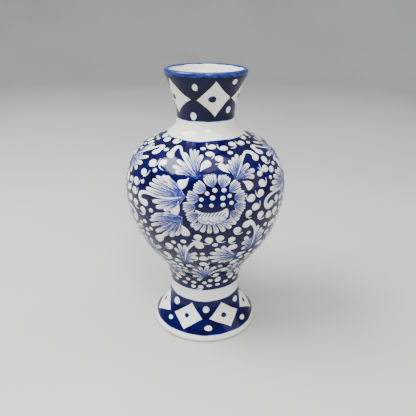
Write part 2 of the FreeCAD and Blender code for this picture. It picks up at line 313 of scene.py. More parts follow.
class Paint:
    """Raised closed strokes on the pot that share one mesh."""

    def __init__(self, name):
        self.name = name
        self.points = []
        self.faces = []
        self.notes = {word: [] for word in NOTES}

    def add(self, angle, distance, lift, note):
        """One point of the mesh, with its notes."""
        self.points.append(on_pot(angle, distance, lift))
        for word, value in zip(NOTES, note):
            self.notes[word].append(value)

    def strip(self, flat, line, halves, section, note_at, thinnest=0.0):
        """A closed cushion along a line of (x, y), with its half width at each point."""
        first = len(self.points)
        across = len(section)
        last = first + (len(line) - 1) * across
        for index, ((x, y), half) in enumerate(zip(line, halves)):
            side = across_line(line, index)
            for v, lift in section:
                angle, distance = flat.place(x + side[0] * half * v, y + side[1] * half * v)
                note = note_at(index / (len(line) - 1), v, half)
                self.add(angle, distance, lift if half >= thinnest else BURIED, note)
        for left in range(first, last, across):
            right = left + across - 1
            for corner in range(left, right):
                self.faces.append((corner, corner + 1, corner + across + 1, corner + across))
            self.faces.append((right, left, left + across, right + across))
        self.faces.append(tuple(range(first + across - 1, first - 1, -1)))
        self.faces.append(tuple(range(last, last + across)))

    def stroke(self, flat, line, halves, wash=None, veined=0.0):
        """One white stroke of the brush; wash(along, across) is the depth of the blue on it."""

        def note_at(t, v, half):
            depth = wash(t, v) if wash else 0.0
            return half * (1 - abs(v)), depth, v, veined * limited(3.4 - 4.0 * t)

        self.strip(flat, line, halves, STROKE_SECTION, note_at, THINNEST)
        for (x, y), half in zip(line, halves):
            note_filled(*flat.place(x, y), half)

    def line(self, flat, line, width):
        """One thin dark line of the brush, tapered at both ends, over what is painted already."""
        halves = []
        for number in range(len(line)):
            turn = math.pi * min(0.92, number / (len(line) - 1) * 0.8 + 0.15)
            halves.append(width * (0.25 + 0.75 * math.sin(turn)))
        self.strip(flat, line, halves, LINE_SECTION, lambda t, v, half: (half, 0.0, 0.0, 0.0))

    def patch(self, flat, outline, lift, wash=0.0):
        """A filled shape from its outline of (x, y): rings towards the middle, closed beneath."""
        middle = (sum(x for x, y in outline) / len(outline), sum(y for x, y in outline) / len(outline))
        count = len(outline)
        levels = [(scale, lift * share) for scale, share in PATCH_TOP]
        levels.append((1.0, BURIED))
        levels.extend((scale, STROKE_BACK) for scale in PATCH_BACK)
        reach = min(math.dist(point, middle) for point in outline)
        first = len(self.points)
        for scale, height in levels:
            for x, y in outline:
                angle, distance = flat.place(middle[0] + (x - middle[0]) * scale,
                                             middle[1] + (y - middle[1]) * scale)
                self.add(angle, distance, height, ((1 - scale) * reach, wash, 0.0, 0.0))
        for level in range(len(levels) - 1):
            for number in range(count):
                low = first + level * count
                after = (number + 1) % count
                self.faces.append((low + number, low + after, low + count + after,
                                   low + count + number))

    def build(self, material, replaced=()):
        """Turn the collected strokes into one piece that rides on the pot."""
        return piece(self.name, self.points, self.faces, material, replaced, self.notes)


def across_line(line, index):
    """Unit direction to the left of a line at one of its points."""
    before = line[max(index - 1, 0)]
    after = line[min(index + 1, len(line) - 1)]
    run = math.dist(before, after) or 1.0
    return (-(after[1] - before[1]) / run, (after[0] - before[0]) / run)


MERGED = 1e-6  # metres within which two points become one


def piece(name, points, faces, material, replaced=(), notes=None):
    """A finished mesh object with its material and the nodes it stands for."""
    mesh = bpy.data.meshes.new(name)
    mesh.from_pydata([tuple(point) for point in points], [], faces)
    for word, values in (notes or {}).items():
        layer = mesh.attributes.new(word, "FLOAT", "POINT")
        layer.data.foreach_set("value", values)
    edit = bmesh.new()
    edit.from_mesh(mesh)
    bmesh.ops.remove_doubles(edit, verts=edit.verts, dist=MERGED)
    bmesh.ops.recalc_face_normals(edit, faces=edit.faces)
    edit.to_mesh(mesh)
    edit.free()
    mesh.shade_smooth()
    made = bpy.data.objects.new(name, mesh)
    bpy.context.scene.collection.objects.link(made)
    made.data.materials.append(material)
    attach(made, "root")
    if replaced:
        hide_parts(*replaced)
    return made


# ---- materials


class Nodes:
    """Short ways to build a node material round one Principled shader."""

    def __init__(self, name):
        self.material = bpy.data.materials.new(name)
        self.material.use_nodes = True
        self.tree = self.material.node_tree
        self.shader = self.tree.nodes["Principled BSDF"]
        self.place = self.add("TexCoord", {}).outputs["Object"]

    def feed(self, node, inputs):
        """Set a node's inputs, or link them where the value is another node's output."""
        for word, value in inputs.items():
            if isinstance(value, bpy.types.NodeSocket):
                self.tree.links.new(value, node.inputs[word])
            else:
                node.inputs[word].default_value = value

    def add(self, kind, inputs, **settings):
        """A new node with its inputs and settings."""
        node = self.tree.nodes.new("ShaderNode" + kind)
        for word, value in settings.items():
            setattr(node, word, value)
        self.feed(node, inputs)
        return node

    def noise(self, scale, detail, stretch=(1, 1, 1), rough=0.5):
        """Noise over the object, stretched along the axes."""
        mapping = self.add("Mapping", {"Scale": stretch, "Vector": self.place})
        inputs = {"Scale": scale, "Detail": detail, "Roughness": rough, "Vector": mapping.outputs[0]}
        return self.add("TexNoise", inputs).outputs["Fac"]

    def attribute(self, word):
        """A value stored on the mesh."""
        return self.add("Attribute", {}, attribute_name=word).outputs["Fac"]

    def span(self, value, low, high, first=0.0, last=1.0):
        """A value mapped smoothly from one span to another."""
        inputs = {"Value": value, "From Min": low, "From Max": high, "To Min": first, "To Max": last}
        return self.add("MapRange", inputs, interpolation_type="SMOOTHSTEP").outputs["Result"]

    def sum(self, kind, first, second):
        """Arithmetic on two values; the second may be a number."""
        return self.add("Math", {0: first, 1: second}, operation=kind).outputs[0]

    def blend(self, amount, first, second):
        """Mix two colours; each is a socket or an RGB triple."""
        inputs = {0: amount}
        for slot, value in ((6, first), (7, second)):
            inputs[slot] = value + (1.0,) if isinstance(value, tuple) else value
        return self.add("Mix", inputs, data_type="RGBA").outputs[2]

    def bump(self, height, distance, under=None):
        """Roughen the surface by a height, in metres."""
        inputs = {"Distance": distance, "Strength": 1.0, "Height": height}
        if under:
            inputs["Normal"] = under
        return self.add("Bump", inputs).outputs["Normal"]

    def finish(self, colour, roughness, normal):
        """Send the last colour, roughness and normal to the shader."""
        self.feed(self.shader, {"Base Color": colour, "Roughness": roughness, "Normal": normal})
        return self.material


WHITE = (0.80, 0.81, 0.765)
CREAM = (0.70, 0.68, 0.58)
PALE_BLUE = (0.20, 0.30, 0.66)
WASH_BLUE = (0.017, 0.045, 0.27)
RIB_BLUE = (0.006, 0.014, 0.13)
NAVY = (0.0015, 0.0010, 0.028)
DEEP = (0.0013, 0.0009, 0.012)
BRIGHT = (0.0024, 0.0017, 0.066)
BLEED = (0.030, 0.070, 0.42)
PLUM = (0.012, 0.004, 0.014)
NECK_BRIGHT = (0.0018, 0.0014, 0.030)
FOOT_BRIGHT = (0.0027, 0.0021, 0.074)
RIM_COLOURS = ((0.008, 0.017, 0.115), (0.022, 0.048, 0.21))
LINE_COLOURS = ((0.006, 0.012, 0.14), (0.03, 0.07, 0.34))
DOT_COLOURS = ((0.0022, 0.0020, 0.028), (0.0030, 0.0030, 0.060))
IRON_SPECK = (0.32, 0.22, 0.13)
CLAY_COLOURS = ((0.62, 0.42, 0.28), (0.50, 0.31, 0.19))
SLIP_COLOURS = ((0.52, 0.34, 0.22), (0.42, 0.26, 0.16))
CLAY_GRAIN = (0.26, 0.16, 0.10)
PAPER_COLOURS = ((0.43, 0.435, 0.43), (0.47, 0.475, 0.465))

# Noise scales, roughly in waves per metre.
CREAM_SCALE = 30
SPECK_SCALE = 260
EDGE_SCALE = 700
STREAK_SCALE = 480
RIB_SCALE = 350
PEEL_SCALE = 55
FINE_SCALE = 900
PIT_SCALE = 420
GLOSS_SCALE = 140
SWEEP_SCALE = 26
DEEP_SCALE = 70
PLUM_SCALE = 160
BLEED_SCALE = 380
RIDGE_SCALE = 120
DRY_SCALE = 300
KILN_SCALE = 45
GRAIN_SCALE = 1500
PORE_SCALE = 1300
CHALK_SCALE = 200
PAPER_SCALE = 3

# Depth of the relief, in millimetres.
FINE_DEPTH = 0.012
PIT_DEPTH = 0.05
RIDGE_DEPTH = 0.05
PORE_DEPTH = 0.10

COBALT_SPECULAR = 0.22
PAPER_ROUGHNESS = 0.85


def glaze_surface(make, ripple, rough_low, rough_high):
    """The soft orange-peel and pinholes of a fired glaze: roughness and normal."""
    peel = make.noise(PEEL_SCALE, 2.0)
    fine = make.noise(FINE_SCALE, 2.0)
    pits = make.span(make.noise(PIT_SCALE, 1.0), 0.72, 0.80)
    rough = make.span(make.noise(GLOSS_SCALE, 3.0), 0.3, 0.7, rough_low, rough_high)
    height = make.bump(peel, ripple * MM)
    height = make.bump(fine, FINE_DEPTH * MM, under=height)
    height = make.bump(make.sum("MULTIPLY", pits, -1.0), PIT_DEPTH * MM, under=height)
    return rough, height


def white_glaze(name, painted):
    """Opaque tin-white glaze, creamy where it is thick; painted strokes also bleed into blue."""
    make = Nodes(name)
    colour = make.blend(make.span(make.noise(CREAM_SCALE, 4.0), 0.42, 0.75), WHITE, CREAM)
    specks = make.span(make.noise(SPECK_SCALE, 1.0), 0.74, 0.79, 0.0, 0.35)
    colour = make.blend(specks, colour, IRON_SPECK)
    if painted:
        uneven = make.span(make.noise(EDGE_SCALE, 2.0), 0.3, 0.7, -0.12, 0.12)
        inside = make.sum("ADD", make.attribute("edge"), uneven)
        colour = make.blend(make.span(inside, 0.02, 0.42, 0.75, 0.0), colour, PALE_BLUE)
        streak = make.span(make.noise(STREAK_SCALE, 3.0), 0.30, 0.72, 0.55, 1.15)
        wash = make.sum("MULTIPLY", make.attribute("wash"), streak)
        colour = make.blend(wash, colour, WASH_BLUE)
        wavering = make.span(make.noise(RIB_SCALE, 2.0), 0.3, 0.7, -0.12, 0.12)
        across = make.sum("ADD", make.attribute("across"), wavering)
        stripe = make.span(make.sum("PINGPONG", across, 0.5), 0.13, 0.30, 1.0, 0.0)
        colour = make.blend(make.sum("MULTIPLY", stripe, make.attribute("ribs")), colour, RIB_BLUE)
    rough, normal = glaze_surface(make, 0.08, 0.05, 0.12)
    return make.finish(colour, rough, normal)


def cobalt_glaze(name, bright, bleed):
    """In-glaze cobalt: brush-laid dark blue, purple-black where thick, bright where it thins."""
    make = Nodes(name)
    sweeps = make.noise(SWEEP_SCALE, 4.0, stretch=(1, 1, 5), rough=0.6)
    patches = make.noise(DEEP_SCALE, 3.0)
    colour = make.blend(make.span(sweeps, 0.36, 0.68), NAVY, bright)
    colour = make.blend(make.span(patches, 0.52, 0.74, 0.0, 0.8), colour, DEEP)
    plum = make.span(make.noise(PLUM_SCALE, 2.0, stretch=(1, 1, 3)), 0.60, 0.76, 0.0, 0.5)
    colour = make.blend(plum, colour, PLUM)
    uneven = make.span(make.noise(BLEED_SCALE, 3.0), 0.3, 0.7, -0.5, 0.5)
    inside = make.sum("ADD", make.attribute("edge"), uneven)
    colour = make.blend(make.span(inside, 0.25, 1.1, bleed, 0.0), colour, BLEED)
    make.shader.inputs["Specular IOR Level"].default_value = COBALT_SPECULAR
    rough, normal = glaze_surface(make, 0.10, 0.04, 0.11)
    ridges = make.noise(RIDGE_SCALE, 3.0, stretch=(1, 1, 7))
    normal = make.bump(ridges, RIDGE_DEPTH * MM, under=normal)
    return make.finish(colour, rough, normal)


def thin_cobalt(name, colours):
    """A single thin brush line of cobalt, lighter where the brush ran dry."""
    make = Nodes(name)
    colour = make.blend(make.span(make.noise(DRY_SCALE, 3.0), 0.35, 0.68), *colours)
    make.shader.inputs["Specular IOR Level"].default_value = COBALT_SPECULAR
    rough, normal = glaze_surface(make, 0.08, 0.06, 0.14)
    return make.finish(colour, rough, normal)


def fired_clay(name, colours):
    """Bare fired earthenware: sandy grain, fine pores and kiln blush."""
    make = Nodes(name)
    colour = make.blend(make.span(make.noise(KILN_SCALE, 5.0), 0.3, 0.7), *colours)
    grain = make.span(make.noise(GRAIN_SCALE, 2.0), 0.60, 0.70, 0.0, 0.5)
    colour = make.blend(grain, colour, CLAY_GRAIN)
    rough = make.span(make.noise(CHALK_SCALE, 2.0), 0.3, 0.7, 0.75, 0.95)
    normal = make.bump(make.noise(PORE_SCALE, 4.0), PORE_DEPTH * MM)
    return make.finish(colour, rough, normal)


WHITE_GLAZE = white_glaze("tin_glaze", False)
STROKE_WHITE = white_glaze("tin_glaze_strokes", True)
BELLY_BLUE = cobalt_glaze("cobalt_belly", BRIGHT, 0.85)
NECK_BLUE = cobalt_glaze("cobalt_neck", NECK_BRIGHT, 0.60)
FOOT_BLUE = cobalt_glaze("cobalt_foot", FOOT_BRIGHT, 0.70)
RIM_BLUE = thin_cobalt("cobalt_rim", RIM_COLOURS)
LINE_BLUE = thin_cobalt("cobalt_lines", LINE_COLOURS)
DOT_BLUE = thin_cobalt("cobalt_dots", DOT_COLOURS)
CLAY = fired_clay("fired_clay", CLAY_COLOURS)
SLIP = fired_clay("fired_slip", SLIP_COLOURS)

# ---- white glaze and bands


def quads(columns, count, around):
    """Faces between neighbouring columns of points; around says that each column closes too."""
    faces = []
    for column in range(columns):
        here = column * count
        there = (column + 1) % columns * count
        for row in range(count if around else count - 1):
            after = (row + 1) % count
            faces.append((here + row, there + row, there + after, here + after))
    return faces


def lathe(name, loop_at, columns, material, replaced):
    """A closed skin right round the pot; loop_at(angle) gives its (distance, lift, edge) loop."""
    points = []
    edges = []
    for column in range(columns):
        angle = 360.0 * column / columns
        loop = loop_at(angle)
        points.extend(on_pot(angle, distance, lift) for distance, lift, edge in loop)
        edges.extend(edge for distance, lift, edge in loop)
    faces = quads(columns, len(loop), True)
    return piece(name, points, faces, material, replaced, {"edge": edges})


def spaced(start, end, step):
    """Evenly spaced distances from start to end."""
    count = max(2, round(abs(end - start) / step))
    return [start + (end - start) * number / count for number in range(count + 1)]


LIP_START = LENGTHS[len(SIDE) - 1]
LIP_END = LENGTHS[len(SIDE) + LIP_TURNS - 1]
PATH_END = LENGTHS[-1]
OUTSIDE_ROWS = 2 * MM
LIP_ROWS = 0.5 * MM
INSIDE_ROWS = 3 * MM
WHITE_COLUMNS = 192
INNERMOST = 9.0  # the edge value where no edge is near, in millimetres


def white_loop(angle):
    """The white glaze's section: outside, lip and inside, and back through the wall."""
    rows = spaced(0.0, LIP_START, OUTSIDE_ROWS)
    rows += spaced(LIP_START, LIP_END, LIP_ROWS)[1:]
    rows += spaced(LIP_END, PATH_END, INSIDE_ROWS)[1:]
    back = spaced(PATH_END, 0.0, INSIDE_ROWS)
    return [(row, 0.0, INNERMOST) for row in rows] + [(row, GLAZE_BACK, INNERMOST) for row in back]


BORDER_ROWS = (0.25, 0.7)  # millimetres from a border to the rows that round it off
CREST = 0.9  # millimetres from the border to the band's full height
WIDEST_EDGE = 4.0


def band(name, low_at, high_at, columns, row_gap, material, node, lift=GROUND_LIFT):
    """A painted ring between two wavy borders, given as distances along the path by angle."""
    steps = max(6, round((high_at(0.0) - low_at(0.0)) / (row_gap * MM)))

    def loop_at(angle):
        low = low_at(angle)
        high = high_at(angle)
        rows = [(low, BURIED, 0.0)]
        for border in BORDER_ROWS:
            rows.append((low + border * MM, lift * (0.6 + 0.4 * border), border))
        for number in range(1, steps):
            place = low + (high - low) * number / steps
            rim = min(place - low, high - place) / MM
            if rim > CREST:
                rows.append((place, lift, min(rim, WIDEST_EDGE)))
            else:
                rows.append((place, lift * 0.9, CREST))
        for border in reversed(BORDER_ROWS):
            rows.append((high - border * MM, lift * (0.6 + 0.4 * border), border))
        rows.append((high, BURIED, 0.0))
        for number in range(steps, -1, -2):
            rows.append((low + (high - low) * number / steps, BAND_BACK, 0.0))
        return rows

    return lathe(name, loop_at, columns, material, (node,))


def wavy(height, sizes, seed):
    """A border near a height: its distance along the path wanders a little with the angle."""
    source = random.Random(seed)
    waves = [(size, turns, source.uniform(0, FULL_TURN)) for turns, size in sizes]
    middle = along(height)

    def border(angle):
        turn = math.radians(angle)
        return middle + MM * sum(size * math.sin(turns * turn + phase) for size, turns, phase in waves)

    return border


# Bands: name, node, columns, row spacing, colour, then each border's height and its waves round
# the pot, each as a count and a reach in millimetres.
BANDS = (
    ("belly", "cobalt_belly_ground", 288, 1.6, BELLY_BLUE,
     (45.8, ((2, 0.35), (5, 0.25), (11, 0.12))), (186.8, ((3, 0.6), (7, 0.35), (16, 0.12)))),
    ("neck", "cobalt_neck_band", 216, 1.2, NECK_BLUE,
     (199.9, ((3, 0.15), (8, 0.12), (19, 0.08))), (237.3, ((3, 0.15), (8, 0.1)))),
    ("foot", "cobalt_foot_band", 216, 1.4, FOOT_BLUE,
     (6.2, ((2, 0.3), (7, 0.2), (17, 0.1))), (34.0, ((3, 0.35), (8, 0.2), (19, 0.1)))),
)
lathe("glaze_white", white_loop, WHITE_COLUMNS, WHITE_GLAZE,
      ("glaze_outside", "glaze_inside"))
for number, (word, node, columns, row_gap, colour, low_border, high_border) in enumerate(BANDS):
    band("cobalt_ground_" + word, wavy(*low_border, 2 * number + 1),
         wavy(*high_border, 2 * number + 2), columns, row_gap, colour, node)

RIM_HEIGHT = 236.9
RIM_OVER = 0.8  # share of the lip's round that the rim line covers
RIM_LOW = wavy(RIM_HEIGHT, ((4, 0.22), (9, 0.15), (21, 0.08)), 7)
RIM_HIGH = wavy(RIM_HEIGHT, ((3, 0.3), (10, 0.2), (23, 0.1)), 8)
RIM_MIDDLE = along(RIM_HEIGHT)


def rim_high(angle):
    """The rim line's border just over the lip, towards the mouth."""
    return LIP_START + (LIP_END - LIP_START) * RIM_OVER + RIM_HIGH(angle) - RIM_MIDDLE


band("rim_line", RIM_LOW, rim_high, 216, 0.4, RIM_BLUE, "cobalt_rim_line", RIM_LIFT)
for word in ("foot_clay", "belly_clay", "neck_clay"):
    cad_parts[word].data.materials[0] = CLAY
for word in ("slip_ring_foot", "slip_ring_neck"):
    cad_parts[word].data.materials[0] = SLIP
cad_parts["glaze_underside"].data.materials[0] = WHITE_GLAZE

# ---- shapes of the brush


def curve(points, count):
    """A smooth line of (x, y) through the given points."""
    fine = smooth(points)
    total = sum(math.dist(a, b) for a, b in zip(fine, fine[1:]))
    return resample(fine, total / count)


def closed_curve(points):
    """A smooth closed outline through the given points."""
    fine = []
    count = len(points)
    for index in range(count):
        after = points[(index + 1) % count]
        later = points[(index + 2) % count]
        fine.extend(catmull(points[index - 1], points[index], after, later, CORNER_STEPS))
    return fine


FULLEST = 0.76  # share of a finger's length where it is widest
ROUND_FROM = 0.78  # share where its round end begins


def teardrop(t, width, base):
    """Half width along a finger: narrow at its base, full near the tip, and round at the end."""
    swell = base + (1 - base) * math.sin(math.pi / 2 * min(1.0, t / FULLEST)) ** 1.6
    over = max(0.0, t - ROUND_FROM) / (1 - ROUND_FROM)
    return max(POINT, width * swell * math.sqrt(max(0.0, 1 - over ** 2)))


def finger(paint, flat, base, tip, width, bend, wash, foot=0.30):
    """A brush-pressed petal from its base to a round tip, with a vein and a blue wash."""
    dx = tip[0] - base[0]
    dy = tip[1] - base[1]
    middle = ((base[0] + tip[0]) / 2 - dy * bend, (base[1] + tip[1]) / 2 + dx * bend)
    line = curve([base, middle, tip], 14)
    count = len(line) - 1
    widths = [teardrop(number / count, width, foot) for number in range(count + 1)]
    depth = wash * RANDOM.uniform(0.75, 1.15)

    def shade(t, v):
        return limited(depth * (1.95 - t * 2.1) + 0.2 * depth * v * v)

    paint.stroke(flat, line, widths, wash=shade, veined=min(1.0, 1.8 * wash))


def blob(paint, flat, centre, radius, flatten=1.0):
    """A round dab of the brush."""
    count = 10
    line = []
    widths = []
    for number in range(count + 1):
        turn = math.pi * number / count
        line.append((centre[0] - radius * math.cos(turn), centre[1]))
        widths.append(max(POINT, radius * flatten * math.sin(turn)))
    paint.stroke(flat, line, widths)


def tail(paint, flat, points, thick, thin):
    """A curled stroke that swells from thin at its start and ends in a round dab."""
    line = curve(points, max(12, 4 * len(points)))
    count = len(line) - 1
    widths = []
    for number in range(count + 1):
        t = number / count
        start = min(1.0, 0.25 + t * 4)
        widths.append(max(POINT, (thin + (thick * 0.8 - thin) * t ** 3) * start))
    widths[-1] = POINT
    paint.stroke(flat, line, widths)
    blob(paint, flat, line[-1], thick, RANDOM.uniform(0.86, 0.98))


LINE_WIDTH = 0.36  # half width of the thin dark lines, in millimetres
WEB = 0.66  # share of the fingers that the wash beneath them covers
NARROWEST_FINGER = 1.1
LINES_END = 0.40  # a line between fingers ends at this share of their two tips added up
LEAF_CURL = 0.10
SCROLL_END = 3.7  # radius of the dab that ends a scroll
SCROLL_START = 0.8  # half width of the scroll's stroke where it starts


def leaf(name, shift, base, width, wash, tips, scroll, lobes):
    """A leaf of round-tipped fingers that open from one base, with a scroll ending in a dab."""
    paint = Paint("leaf_" + name)
    lines = Paint("leaf_lines_" + name)
    flat = Flat(*base, shift)
    ends = [flat.find(*tip) for tip in tips]
    stretch = [RANDOM.uniform(0.93, 1.03) for end in ends]
    ends = [(x * far, y * far) for (x, y), far in zip(ends, stretch)]
    middle = (len(ends) - 1) / 2
    sweep = curve([(0.0, 0.0)] + [(x * WEB, y * WEB) for x, y in ends] + [(0.0, 0.0)], 40)
    paint.patch(flat, sweep[:-1], WASH_LIFT, wash=0.8 + 0.2 * wash)
    for number, end in enumerate(ends):
        beside = [ends[other] for other in (number - 1, number + 1) if 0 <= other < len(ends)]
        gap = min(math.dist(end, other) for other in beside)
        spread = max(NARROWEST_FINGER, min(width * 1.15, gap * 0.37))
        bend = LEAF_CURL * (number - middle) / max(1.0, middle)
        finger(paint, flat, (0.0, 0.0), end, spread, bend, wash)
    for start, end in zip(ends, ends[1:]):
        between = ((start[0] + end[0]) * LINES_END, (start[1] + end[1]) * LINES_END)
        route = [(0.0, 0.0), (between[0] * 0.5, between[1] * 0.5), between]
        lines.line(flat, curve(route, 9), LINE_WIDTH)
    for near, far, wide in lobes:
        finger(paint, flat, flat.find(*near), flat.find(*far), wide, 0.08, 0.0, foot=0.08)
    if scroll:
        route = [(0.0, 0.0)] + [flat.find(*point) for point in scroll]
        tail(paint, flat, route, SCROLL_END, SCROLL_START)
    paint.build(STROKE_WHITE)
    lines.build(LINE_BLUE)


def hook(paint, flat, radius, lean, spin, reach):
    """A round dab with a thin tail that curls round to it from one side."""
    points = []
    for number in range(5):
        t = number / 4
        turn = lean + spin * 1.9 * t
        far = reach + (radius * 0.7 - reach) * t ** 0.8
        points.append((far * math.cos(turn), far * math.sin(turn)))
    line = curve(points, 14)
    widths = [0.25 + 0.75 * number / (len(line) - 1) for number in range(len(line))]
    widths[0] = POINT
    widths[-1] = POINT
    paint.stroke(flat, line, widths)
    blob(paint, flat, (0.0, 0.0), radius, RANDOM.uniform(0.86, 1.0))


def comma(paint, angle, height, radius, far, shift):
    """A dab whose tail starts from the point given by angle and height."""
    flat = Flat(angle, height, shift)
    x, y = flat.find(*far)
    reach = min(math.hypot(x, y), radius * 2.1)
    spin = -1 if x > 0 else 1
    hook(paint, flat, radius, math.atan2(y, x), spin, reach)


SIDE_STEPS = 18
OVAL_STEPS = 36
UNEVEN = 0.12  # wavering of a field's sides, in millimetres


def star(flat, corners, bulge):
    """Outline of a four-cornered field; each side bows outwards by bulge millimetres."""
    corners = [flat.find(*corner) for corner in corners]
    outline = []
    for start, end in zip(corners, corners[1:] + corners[:1]):
        run = math.dist(start, end)
        side = (-(end[1] - start[1]) / run, (end[0] - start[0]) / run)
        for number in range(SIDE_STEPS):
            t = number / SIDE_STEPS
            bow = bulge * 4 * t * (1 - t) + UNEVEN * math.sin(9 * t + start[0])
            outline.append((start[0] + (end[0] - start[0]) * t + side[0] * bow,
                            start[1] + (end[1] - start[1]) * t + side[1] * bow))
    return outline


def oval(width, height):
    """Outline of an ellipse, slightly uneven."""
    lean = RANDOM.uniform(0, FULL_TURN)
    outline = []
    for number in range(OVAL_STEPS):
        turn = 2 * math.pi * number / OVAL_STEPS
        uneven = 1 + 0.04 * math.sin(3 * turn + lean)
        outline.append((width / 2 * uneven * math.cos(turn), height / 2 * uneven * math.sin(turn)))
    return outline


# ---- neck and foot fields

FIELDS = Paint("white_fields")
FIELD_DOTS = Paint("cobalt_field_dots")
NECK_MIDDLE = 218.7
FOOT_MIDDLE = 18
FOOT_BULGE = -0.5
DOT_SIZE = 1.08  # dots are drawn this much larger than listed, as their borders sink in

# Fields: angle of the middle, corners (top, right, bottom, left), bulge, and the dot's place and size.
NECK_FIELDS = (
    (14.5, ((14, 234), (45, 219.5), (18, 203.8), (-16, 218)), -0.8, (11, 219), (6.4, 5.4)),
    (-56, ((-59, 234.3), (-23.5, 218), (-60, 205), (-90, 218)), -1.3, (-66, 218.6), (6.2, 5.2)),
    (82, ((78, 234.3), (116, 219), (84, 205.5), (46.5, 218.6)), -1.0, (74, 218.6), (6.4, 4.8)),
    (154, ((153, 234), (184, 218.5), (156, 204.5), (124, 218.5)), -0.9, (154, 219), (6.0, 5.2)),
    (-128, ((-130, 234), (-98, 218.5), (-127, 204.8), (-163, 218.8)), -0.9, (-130, 218.8), (6.3, 5.3)),
)
FOOT_FIELDS = (
    (-24, ((-20, 31.5), (-2, 18), (-24, 8.5), (-46.5, 18)), FOOT_BULGE, (-25, 19.2), (4.4, 4.2)),
    (30, ((28, 31.2), (54.5, 18.6), (33, 9.6), (6, 18)), FOOT_BULGE, (28, 19.4), (5.2, 4.8)),
    (-79, ((-80, 31), (-53.5, 16.8), (-79, 8.8), (-104, 18)), FOOT_BULGE, (-81, 19), (4.8, 4.4)),
    (82, ((79, 30), (106, 18), (83, 9), (59.5, 18.4)), FOOT_BULGE, (79, 18.6), (5.0, 4.6)),
)
# Round white spots between the fields: angle, height, and their width and height.
NECK_SPOTS = ((-15.5, 228.5, 4.8, 6.4), (-23, 204.5, 5.4, 6.8), (43.5, 232.2, 5.2, 4.8),
              (46, 209, 5.4, 6.0), (120, 230, 5.0, 6.0), (118, 206, 5.2, 6.2), (189, 229, 5.0, 5.8),
              (190, 206, 5.2, 6.4), (-94, 230, 5.2, 6.0), (-94, 205.5, 5.3, 6.0))
FOOT_SPOTS = ((-49, 27.3, 7.6, 7.2), (2.5, 25.8, 6.2, 6.4), (57, 27.4, 7.4, 5.6), (107, 27, 6.8, 6.2),
              (157, 27.2, 7.2, 6.4), (207, 26.8, 7.0, 6.6), (256, 27.2, 7.2, 6.0),
              (-47.5, 13, 5.4, 4.2), (5, 11.5, 7.4, 5.0), (54, 11.5, 6.8, 4.8), (107, 12, 6.4, 4.6),
              (157, 11.8, 6.8, 5.0), (207, 12, 6.0, 4.6), (256, 12, 6.6, 4.8))
BACK_FIELDS = (132, 182, 232)  # the foot's fields that aren't listed above


def field(height, angle, corners, bulge, dot, dot_size):
    """A white four-cornered field with a cobalt dot in it."""
    flat = Flat(angle, height)
    FIELDS.patch(flat, star(flat, corners, bulge), STROKE_LIFT)
    wide, tall = dot_size
    FIELD_DOTS.patch(Flat(*dot), oval(wide * DOT_SIZE, tall * DOT_SIZE), DOT_LIFT)


def spots(listed):
    """Round white spots."""
    for angle, height, wide, tall in listed:
        FIELDS.patch(Flat(angle, height), oval(wide, tall), STROKE_LIFT)


for row in NECK_FIELDS:
    field(NECK_MIDDLE, *row)
spots(NECK_SPOTS)
for row in FOOT_FIELDS:
    field(FOOT_MIDDLE, *row)
for middle in BACK_FIELDS:
    low = RANDOM.uniform(8.4, 9.4)
    high = RANDOM.uniform(30.4, 31.6)
    corners = ((middle + 1, high), (middle + 23.5, 18.3), (middle - 1, low), (middle - 23.5, 18))
    field(FOOT_MIDDLE, middle, corners, FOOT_BULGE, (middle + 1, 19), (4.9, 4.5))
spots(FOOT_SPOTS)
FIELDS.build(STROKE_WHITE)
FIELD_DOTS.build(DOT_BLUE, ("cobalt_neck_dots", "cobalt_foot_dots"))

# ---- flower


FLOWER = (8, 151)
CLUSTERS = ((3.5, 165.5), (13.5, 165), (21.5, 159.5), (24.5, 151), (24, 142.5), (20.5, 135.5),
            (-4.5, 160), (-9, 152), (-11, 143.5), (-8.5, 135.5))
PETALS = 5
PETAL_GAP = 2.0
PETAL_DEPTH = 7.0  # millimetres from a cluster's place in to where its petals start
PETAL_WIDTH = 1.05
FLOWER_WASH = 0.45
# The dots of the heart: angle, height and radius.
HEART_DOTS = ((6.5, 157.5, 1.9), (12.5, 157.3, 1.9), (1.5, 155.3, 1.7), (5, 152, 2.0),
              (11.5, 151.5, 2.0), (16, 152.8, 1.7), (-2, 150.8, 1.6), (4.2, 146.2, 1.6),
              (11.5, 146.3, 1.8), (17, 147.3, 1.7), (-2.5, 146, 1.4))
CUP = ((-6, 142.5), (-2, 140.8), (4, 140.2), (10, 141.2), (14.5, 143.5), (15.5, 138), (13, 133),
       (8, 130.5), (3, 130), (-2, 131.5), (-5.5, 135))
CUP_WASH = 0.12
HATCHES = 9
# The scales drawn on the cup: angle, height, half width and half height.
CUP_SCALES = ((-3.5, 136.2, 2.3, 2.0), (0.3, 134.8, 2.2, 2.2), (5.5, 135.2, 4.2, 3.0),
              (10.9, 135, 2.2, 2.2), (14, 137.2, 1.9, 1.8))
SKIRT = ((-9, 129), (-6.5, 125.5), (-2, 123), (3, 121.8), (8, 121.6), (13, 122.8), (17.5, 125.5),
         (21, 129.5), (23, 133.5))
SKIRT_TOP = 131.5
SKIRT_WIDTH = 2.15


def beyond(start, out, ahead, aside):
    """The point so far ahead of another along a direction, and so far to the left of it."""
    return start[0] + out[0] * ahead - out[1] * aside, start[1] + out[1] * ahead + out[0] * aside


